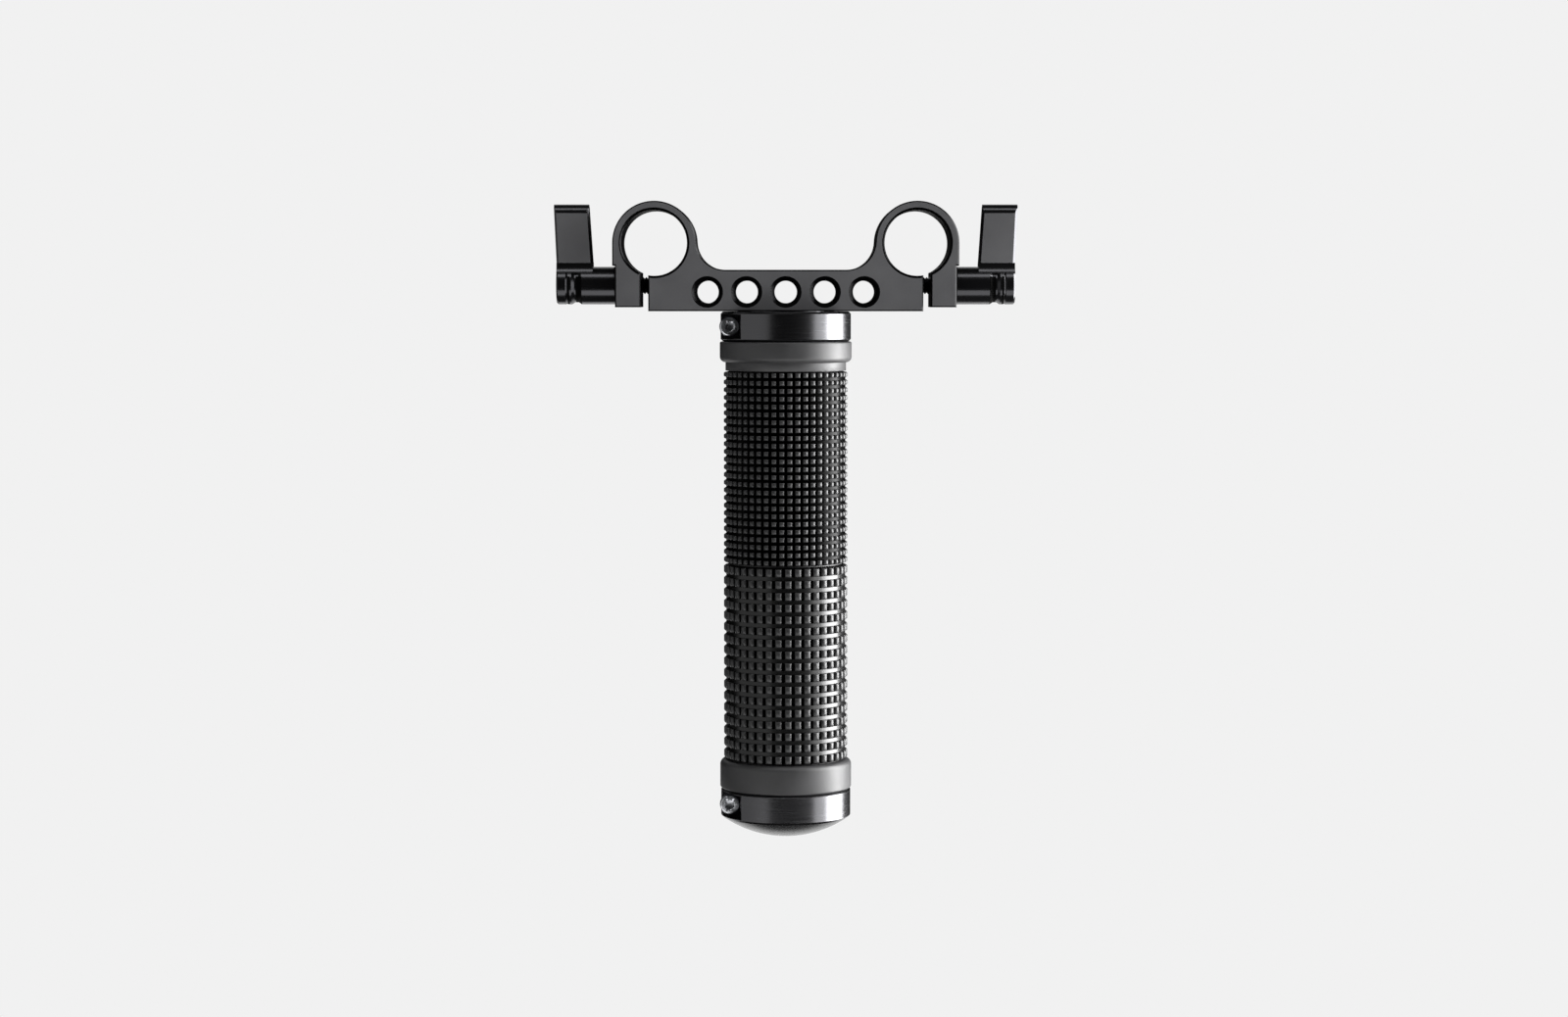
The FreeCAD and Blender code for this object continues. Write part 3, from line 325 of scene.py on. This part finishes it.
# Painted shade: the skin goes towards near black by the attribute, a little on the studs and fully
# on groove floors.
tint = {0: groove, 6: skin, 7: colour(rubberFinish["grooveShadeColour"])}
tint = addNode(tree, "Mix", tint, data_type="RGBA")[2]
low, high = (rubberFinish["roughness"] + step for step in rubberFinish["spread"])
rough = addNode(tree, "MapRange", {0: bloom, **noiseSpan, 3: low, 4: high})[0]
rough = addNode(tree, "Mix", {0: groove, 2: rough, 3: rubberFinish["grooveRoughness"]})[0]
# Painted shade: on the narrowest groove floors the metallic goes to 1 with a near black colour, so
# that they give back no light.
shadeMetallic = addNode(tree, "MapRange", {0: groove, 1: 1.0, 2: 2.0})[0]
height = {0: pores, 1: rubberFinish["poreDepth"]}
height = addNode(tree, "Math", height, operation="MULTIPLY")[0]
bump = addNode(tree, "Bump", {"Height": height, "Distance": mm, "Strength": 1.0})[0]
look = {"Base Color": tint, "Metallic": shadeMetallic, "Roughness": rough}
finish(tree, {**look, "IOR": rubberFinish["ior"], "Normal": bump})

# Moulded nylon: semi-gloss black with a faint spark grain, for the end plug and sleeve.
nylonFinish = {
    "colour": "#1b1b1c",
    "tint": "#222223",
    "roughness": 0.27,
    "spread": (-0.04, 0.05),
    "spark": 0.5,
    "sparkDepth": 0.004,
    "ior": 1.53,
}
nylonMaterial, tree = newMaterial("moulded nylon")
place = addNode(tree, "TexCoord", {})["Object"]
noise = {"Vector": place, "Scale": 1 / (nylonFinish["spark"] * mm), "Detail": 5.0}
spark = addNode(tree, "TexNoise", noise)["Fac"]
height = {0: spark, 1: nylonFinish["sparkDepth"]}
height = addNode(tree, "Math", height, operation="MULTIPLY")[0]
bump = addNode(tree, "Bump", {"Height": height, "Distance": mm, "Strength": 1.0})[0]
low, high = (nylonFinish["roughness"] + step for step in nylonFinish["spread"])
rough = addNode(tree, "MapRange", {0: spark, **noiseSpan, 3: low, 4: high})[0]
tint = {0: spark, 6: colour(nylonFinish["colour"]), 7: colour(nylonFinish["tint"])}
tint = addNode(tree, "Mix", tint, data_type="RGBA")[2]
look = {"Base Color": tint, "Roughness": rough}
finish(tree, {**look, "IOR": nylonFinish["ior"], "Normal": bump})

# Steel: the clamp and mounting screws are black oxide with an oily dark shine, the
# pinch bolts zinc plated and bright where their edges catch the light.
oxideFinish = {
    "name": "black oxide steel",
    "colour": "#1a1a1c",
    "smear": "#26262a",
    "smearSize": 1.2,
    "roughness": 0.36,
    "spread": (-0.05, 0.08),
}
zincFinish = {
    **oxideFinish,
    "name": "zinc plated steel",
    "colour": "#e2e4e8",
    "smear": "#b4b6ba",
    "roughness": 0.3,
}


def steel(values):
    material, tree = newMaterial(values["name"])
    place = addNode(tree, "TexCoord", {})["Object"]
    noise = {"Vector": place, "Scale": 1 / (values["smearSize"] * mm), "Detail": 4.0}
    smear = addNode(tree, "TexNoise", noise)["Fac"]
    patch = addNode(tree, "MapRange", {0: smear, **patchSpan})[0]
    tint = {0: patch, 6: colour(values["colour"]), 7: colour(values["smear"])}
    tint = addNode(tree, "Mix", tint, data_type="RGBA")[2]
    low, high = (values["roughness"] + step for step in values["spread"])
    rough = addNode(tree, "MapRange", {0: smear, **noiseSpan, 3: low, 4: high})[0]
    finish(tree, {"Base Color": tint, "Metallic": 1.0, "Roughness": rough})
    return material


oxideMaterial = steel(oxideFinish)
zincMaterial = steel(zincFinish)
print("rings, rubber, nylon and steel made")


# A piece from points in millimetres and faces of four corners. Points closer than the
# weld, as at the ends of a turned form, are merged, so that its poles are closed. Edges
# sharper than the crease in degrees stay sharp.
def newPiece(name, points, quads, body, material, crease, weld=0.0005):
    mesh = bpy.data.meshes.new(name)
    mesh.vertices.add(len(points))
    mesh.vertices.foreach_set("co", (np.asarray(points) * mm).astype(np.float32).ravel())
    mesh.loops.add(quads.size)
    mesh.loops.foreach_set("vertex_index", quads.astype(np.int32).ravel())
    mesh.polygons.add(len(quads))
    mesh.polygons.foreach_set("loop_start", np.arange(0, quads.size, 4, dtype=np.int32))
    mesh.update(calc_edges=True)
    merged = bmesh.new()
    merged.from_mesh(mesh)
    bmesh.ops.remove_doubles(merged, verts=merged.verts, dist=weld * mm)
    merged.to_mesh(mesh)
    merged.free()
    mesh.materials.append(material)
    mesh.shade_smooth()
    mesh.set_sharp_from_angle(angle=math.radians(crease))
    piece = bpy.data.objects.new(name, mesh)
    bpy.context.scene.collection.objects.link(piece)
    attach(piece, body)
    return piece


# Corners of the quads of a grid that closes round: row i and column j meet their
# neighbours i + 1 and j + 1, counted round. With openRows the last row isn't joined.
def gridQuads(rows, columns, first=0, openRows=False):
    i, j = np.meshgrid(np.arange(rows - openRows), np.arange(columns), indexing="ij")
    below, beside = (i + 1) % rows, (j + 1) % columns
    corners = (i * columns + j, below * columns + j, below * columns + beside, i * columns + beside)
    return np.stack([c.ravel() for c in corners], axis=1) + first


# Points (r cos a, r sin a, z) of rows of radius r at heights z, over the angles a.
def spun(radius, height, angle):
    radius = np.broadcast_to(radius, (len(height), len(angle)))
    z = np.broadcast_to(np.asarray(height)[:, None], radius.shape)
    return np.stack([radius * np.cos(angle), radius * np.sin(angle), z], axis=2).reshape(-1, 3)


# Points (r, z) of an arc about a centre, angles in degrees from +r towards +z.
def arc(centreR, centreZ, size, start, end, count=7):
    angle = np.radians(np.linspace(start, end, count))
    return list(zip(centreR + size * np.cos(angle), centreZ + size * np.sin(angle)))


# A stud's foot, shoulder and top are its widths round the grip and along it.
grip = {
    "bore": 12.62,
    "flange": 15.2,
    "flangeEdge": 0.4,
    "upperFlange": 4.75,
    "lowerFlange": 6.6,
    "band": 13.9,
    "bandBevel": 0.06,
    "smoothBand": 1.9,
    "sides": 192,
    "root": 13.76,  # bottom of the grooves round the grip
    "crown": 14.3,
    "grooveSink": 0.55,  # the grooves along the grip are this much deeper
    "core": 13.0,  # body under the studs, below the deepest groove
    "coreLap": 0.1,  # the ends of a band of studs go this far into the core
    "endLap": 0.05,
    "shoulderRise": 0.5,  # share of a stud's height where its edges slope in
    "floorRise": 0.1,  # points that rise less are on a groove's floor
    "crownShade": 0.35,  # painted shade: how far the studs go from the skin's colour to the groove's near black
    "sunkShade": 2.0,  # painted shade of a groove along the grip; these levels go to the rubber as an attribute
    "fine": {
        "rows": 25,
        "pitch": 1.78,
        "columns": 48,
        "foot": (1.2, 1.14),
        "shoulder": (1.14, 1.08),
        "top": (0.56, 0.64),
        "floorShade": 2.0,  # painted shade of a groove round the grip
    },
    "coarse": {
        "rows": 17,
        "pitch": 2.68,
        "columns": 39,
        "foot": (1.54, 1.82),
        "shoulder": (1.48, 1.76),
        "top": (0.74, 1.3),
        "floorShade": 1.0,
    },
}


# Grid lines across a row of studs, and the rise on each line: 0 at the foot, shoulder
# rise where the slope starts and 1 on the crown.
def studLines(count, pitch, foot, shoulder, top):
    offsets = np.array([-foot, -shoulder, -top, top, shoulder, foot]) / 2
    middle = grip["shoulderRise"]
    rise = np.array([0.0, middle, 1.0, 1.0, middle, 0.0])
    centres = (np.arange(count) + 0.5) * pitch
    return (centres[:, None] + offsets).ravel(), np.tile(rise, count)


# A band of studs: radius is root + (crown - root) times the smaller of the two rises,
# over height and angle, and less by the sink between two studs of a row. Its ends turn in
# below the core's skin, so that it is closed. The second result is each point's painted
# shade, for the rubber's attribute.
def studField(values, top):
    crown, root, lap = grip["crown"], grip["root"], grip["endLap"]
    pitch = math.tau * crown / values["columns"]
    wide, tall = zip(values["foot"], values["shoulder"], values["top"])
    around, riseAround = studLines(values["columns"], pitch, *wide)
    down, riseDown = studLines(values["rows"], values["pitch"], *tall)
    rise = np.minimum(riseDown[:, None], riseAround)
    end = np.full((1, len(around)), grip["core"] - grip["coreLap"])
    radius = np.vstack([end, root + (crown - root) * rise, end])
    height = top - np.concatenate([[lap], down, [values["rows"] * values["pitch"] - lap]])
    floorRise = grip["floorRise"]
    sunk = (riseDown[:, None] > floorRise) & (riseAround < floorRise)
    sunk = np.vstack([end * 0, sunk, end * 0])
    radius = radius - grip["grooveSink"] * sunk
    floor = np.where(sunk, grip["sunkShade"], values["floorShade"])
    raised = np.vstack([end * 0, rise, end * 0]) > floorRise
    dark = np.where(raised, grip["crownShade"], floor)
    return spun(radius, height, around / crown), dark.ravel(), len(height)


# Rubber overmould: a turned body with two flanges, and the two bands of studs on it.
def studdedGrip():
    low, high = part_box("rubber_grip")
    top, bottom = high.z / mm, low.z / mm
    flange, edge, band, core = grip["flange"], grip["flangeEdge"], grip["band"], grip["core"]
    swell, bevel = flange - band, grip["bandBevel"]
    fieldTop = top - grip["upperFlange"] - grip["smoothBand"]
    fieldEnd = bottom + grip["lowerFlange"]
    outline = [(grip["bore"], top)]
    outline += arc(flange - edge, top - edge, edge, 90, 0)
    outline += arc(band, top - grip["upperFlange"] + swell, swell, 0, -90, count=9)
    outline += [(band, fieldTop + bevel), (band - bevel, fieldTop)]
    outline += [(core, fieldTop), (core, fieldEnd)]
    outline += arc(band, fieldEnd - swell, swell, 90, 0, count=9)
    outline += arc(flange - edge, bottom + edge, edge, 0, -90)
    outline += [(grip["bore"], bottom)]
    radius, height = np.array(outline).T
    angle = np.linspace(0, math.tau, grip["sides"], endpoint=False)
    points = [spun(radius[:, None], height, angle)]
    quads = [gridQuads(len(height), len(angle))]
    groove = [np.zeros(len(points[0]))]
    level = fieldTop
    for field in (grip["fine"], grip["coarse"]):
        studs, dark, rows = studField(field, level)
        quads.append(gridQuads(rows, len(studs) // rows, sum(map(len, points))))
        points.append(studs)
        groove.append(dark)
        level -= field["rows"] * field["pitch"]
    points, quads = np.vstack(points), np.vstack(quads)
    piece = newPiece("studdedGrip", points, quads, "frame", rubberMaterial, 62)
    # Painted shade: each point's darkness goes to the rubber as an attribute.
    shade = piece.data.attributes.new("groove", "FLOAT", "POINT")
    shade.data.foreach_set("value", np.concatenate(groove).astype(np.float32))
    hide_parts("rubber_grip")


studdedGrip()
print("studded grip made")

# Every screw: steps of its thread to a turn, the taper at its tip as a share of the bevel
# and its slope, the bevels under the head and round the socket, and the drill's cone.
screwForm = {
    "steps": 8,
    "tipTaper": 0.35,
    "tipSlope": 0.25,
    "footInset": 0.1,
    "footRise": 0.12,
    "knurlEnd": 0.15,
    "flare": 0.12,
    "flareDepth": 0.1,
    "cone": 0.2,
    "crease": 40,
}
clampScrew = {
    **screwForm,
    "radius": 2.0,
    "length": 25.0,
    "lead": 0.7,
    "threadDepth": 0.4,
    "bevel": 0.35,
    "runout": 0.35,
    "head": None,
    "flats": 2.0,
    "socketDepth": 2.5,
    "columns": 36,
}
pinchBolt = {
    **screwForm,
    "radius": 1.25,
    "length": 6.0,
    "lead": 0.45,
    "threadDepth": 0.25,
    "bevel": 0.3,
    "runout": 0.1,
    "head": 2.25,
    "headHeight": 2.5,
    "headEdge": 0.35,
    "knurls": 30,
    "knurlDepth": 0.05,
    "flats": 2.0,
    "socketDepth": 1.3,
    "columns": 120,
    "turn": 4.0,  # degrees, as the rings are turned
    "offset": 13.25,  # from the handle's axis
    "seat": 2.6,
}


# A screw along Z, head end up, as rows of radius over the angle. The thread's radius is
# crest - depth times a triangle wave of z / lead - angle / turn; the hexagon's is half
# the flats over the cosine of the angle from the nearest flat's middle; the knurls' is
# head - knurl depth times (1 - the cosine of knurls times the angle).
def screwPoints(values):
    angle = np.linspace(0, math.tau, values["columns"], endpoint=False)
    ring = np.ones(len(angle))
    crest, depth, bevel = values["radius"], values["threadDepth"], values["bevel"]
    tip, top, sixth = -values["length"], 0.0, math.pi / 3
    rows = [(0 * ring, tip), ((crest - bevel) * ring, tip)]
    count = int((values["length"] - bevel) / values["lead"] * values["steps"])
    for z in np.linspace(tip + bevel, -values["runout"], count):
        wave = np.abs(((z / values["lead"] - angle / math.tau) % 1) * 2 - 1)
        taper = max(0.0, values["tipTaper"] * bevel - values["tipSlope"] * (z - tip))
        rows.append((crest - depth * wave - taper, z))
    if values["head"]:
        head, edge, top = values["head"], values["headEdge"], values["headHeight"]
        knurls = head - values["knurlDepth"] * (1 - np.cos(angle * values["knurls"]))
        rows += [((crest - depth) * ring, 0.0), ((head - values["footInset"]) * ring, 0.0)]
        rows += [(knurls, values["footRise"]), (knurls, top - edge - values["knurlEnd"])]
        rim = arc(head - values["knurlDepth"] - edge, top - edge, edge, 0, 90, count=5)
        rows += [(r * ring, z) for r, z in rim]
    else:
        rows += [((crest - bevel) * ring, top)]
    socket = values["flats"] / 2 / np.cos((angle + sixth / 2) % sixth - sixth / 2)
    floor = top - values["socketDepth"]
    rows += [(socket + values["flare"], top), (socket, top - values["flareDepth"])]
    rows += [(socket, floor), (0 * ring, floor - values["cone"])]
    return spun(np.array([r for r, z in rows]), [z for r, z in rows], angle), len(rows)


# Turn a screw's points by a 3 by 3 matrix and move them to their origin.
def placeScrew(name, values, node, body, material, turn, origin):
    points, rows = screwPoints(values)
    placed = points @ np.array(turn, float).T + np.array(origin)
    quads = gridQuads(rows, values["columns"], openRows=True)
    piece = newPiece(name, placed, quads, body, material, values["crease"])
    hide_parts(node)


for hand, side in (("left", -1), ("right", 1)):
    node, body = f"{hand}_clamp_screw", f"{hand}_lever_set"
    low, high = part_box(node)
    headAt = (high.x if side > 0 else low.x) / mm
    turn = [[0, 0, side], [0, 1, 0], [-side, 0, 0]]
    origin = (headAt, 0, (low.z + high.z) / 2 / mm)
    name = f"{hand}ClampScrew"
    placeScrew(name, clampScrew, node, body, oxideMaterial, turn, origin)

bend = math.radians(pinchBolt["turn"])
spin = [[math.cos(bend), -math.sin(bend), 0], [math.sin(bend), math.cos(bend), 0], [0, 0, 1]]
spin = np.array(spin)
lie = np.array([[1, 0, 0], [0, 0, -1], [0, 1, 0]])
for end in ("upper", "lower"):
    low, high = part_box(f"{end}_lock_ring")
    origin = spin @ (-pinchBolt["offset"], -pinchBolt["seat"], 0)
    origin = origin + (0, 0, (low.z + high.z) / 2 / mm)
    name, node, turn = f"{end}PinchBolt", f"{end}_ring_bolt", spin @ lie
    placeScrew(name, pinchBolt, node, "frame", zincMaterial, turn, origin)
print("screws made")

finishes = {
    "clamp_block": blockMaterial,
    "left_lever": leverMaterial,
    "right_lever": leverMaterial,
    "core_tube": tubeMaterial,
    "mounting_screw_1": oxideMaterial,
    "mounting_screw_2": oxideMaterial,
    "mounting_screw_3": oxideMaterial,
    "mounting_screw_4": oxideMaterial,
    "grip_sleeve": nylonMaterial,
    "upper_lock_ring": ringMaterial,
    "lower_lock_ring": ringMaterial,
    "end_plug": nylonMaterial,
}
for node, material in finishes.items():
    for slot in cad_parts[node].material_slots:
        slot.material = material
print("finishes on the solids")

# Studio: pale floor and backdrop, a bright window on the right just behind the object
# and its dimmer edge in front, soft light from above and below the camera, and dark
# around the camera. Radiance is seen light, sizes and places are in metres.
studio = {
    "pale": "#f1f1f1",
    "fill": 0.012,  # the backdrop's light on the object
    "floorHeight": -0.32,
    "floorReach": 4.0,
    "floorMatt": "#303030",  # what the object sees of the floor
    "shadow": {1: 0.1, 2: 0.5, 3: 0.95, 4: 1.0},  # distance to brightness, under the grip
}
lamps = {
    "window": {
        "radiance": 19.0,
        "size": (0.36, 0.7),
        "at": (0.5, 0.07, -0.02),
        "to": (0, 0, -0.02),
    },
    "windowEdge": {
        "radiance": 3.0,
        "size": (0.24, 0.7),
        "at": (0.47, -0.23, -0.02),
        "to": (0, 0, -0.02),
    },
    "overhead": {
        "radiance": 3.3,
        "size": (0.7, 0.16),
        "at": (0.0, -0.23, 0.46),
        "to": (0, 0, -0.01),
    },
    "below": {
        "radiance": 2.1,
        "size": (0.9, 0.36),
        "at": (0.0, -0.34, -0.315),
        "to": (0, -0.339, 0),
    },
    "left": {
        "radiance": 0.52,
        "size": (0.78, 0.6),
        "at": (-0.46, -0.2, 0.0),
        "to": (0, 0, 0.0),
    },
    "back": {
        "radiance": 0.7,
        "size": (0.7, 0.4),
        "at": (-0.1, 0.55, 0.35),
        "to": (0, 0, -0.05),
    },
    "under": {
        "radiance": 1.3,
        "size": (0.9, 0.6),
        "at": (0, 0.48, -0.315),
        "to": (0, 0.481, 0),
    },
}
for name, values in lamps.items():
    lamp = bpy.data.lights.new(name, "AREA")
    lamp.shape = "RECTANGLE"
    lamp.size, lamp.size_y = values["size"]
    lamp.energy = values["radiance"] * math.pi * lamp.size * lamp.size_y  # watts, even panel
    light = bpy.data.objects.new(name, lamp)
    x, y, z = np.array(values["to"]) - values["at"]
    light.location = values["at"]
    light.rotation_euler = (math.atan2(math.hypot(x, y), -z), 0, math.atan2(y, x) - math.pi / 2)
    light.visible_camera = False
    bpy.context.scene.collection.objects.link(light)

world = bpy.data.worlds.new("studio")
bpy.context.scene.world = world
world.use_nodes = True
tree = world.node_tree
tree.nodes.clear()
seen = addNode(tree, "LightPath", {})["Is Camera Ray"]
fill = addNode(tree, "Background", {"Color": (1, 1, 1, 1), "Strength": studio["fill"]})[0]
pale = addNode(tree, "Background", {"Color": colour(studio["pale"]), "Strength": 1.0})[0]
both = addNode(tree, "MixShader", {0: seen, 1: fill, 2: pale})[0]
addNode(tree, "OutputWorld", {"Surface": both})

# The floor glows as pale as the backdrop for the camera and is matt for all other rays.
floorMaterial, tree = newMaterial("pale studio floor")
place = addNode(tree, "TexCoord", {})["Object"]
away = addNode(tree, "VectorMath", {0: place}, operation="LENGTH")["Value"]
bright = addNode(tree, "MapRange", {0: away, **studio["shadow"]})[0]
seen = addNode(tree, "LightPath", {})["Is Camera Ray"]
seen = addNode(tree, "Math", {0: bright, 1: seen}, operation="MULTIPLY")[0]
matt = addNode(tree, "BsdfDiffuse", {"Color": colour(studio["floorMatt"])})[0]
glow = addNode(tree, "Emission", {"Color": colour(studio["pale"]), "Strength": 1.0})[0]
both = addNode(tree, "MixShader", {0: seen, 1: matt, 2: glow})[0]
addNode(tree, "OutputMaterial", {"Surface": both})
reach, height = studio["floorReach"], studio["floorHeight"]
around = ((-reach, -reach), (reach, -reach), (reach, reach), (-reach, reach))
floorMesh = bpy.data.meshes.new("floor")
floorMesh.from_pydata([(x, y, height) for x, y in around], [], [(0, 1, 2, 3)])
floorMesh.materials.append(floorMaterial)
studioFloor = bpy.data.objects.new("floor", floorMesh)
bpy.context.scene.collection.objects.link(studioFloor)
studioFloor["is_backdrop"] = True
print("studio made")

view = {"lens": 73.7, "sensor": 36.0, "near": 0.01, "at": (-0.0004, -0.741, -0.01155), "tilt": 3.83}
lensData = bpy.data.cameras.new("camera")
lensData.lens = view["lens"]
lensData.sensor_width = view["sensor"]
lensData.clip_start = view["near"]
camera = bpy.data.objects.new("camera", lensData)
camera.location = view["at"]
camera.rotation_euler = (math.radians(90 - view["tilt"]), 0, 0)
bpy.context.scene.collection.objects.link(camera)
bpy.context.scene.camera = camera
bpy.context.scene.view_settings.view_transform = "Standard"

low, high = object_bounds()
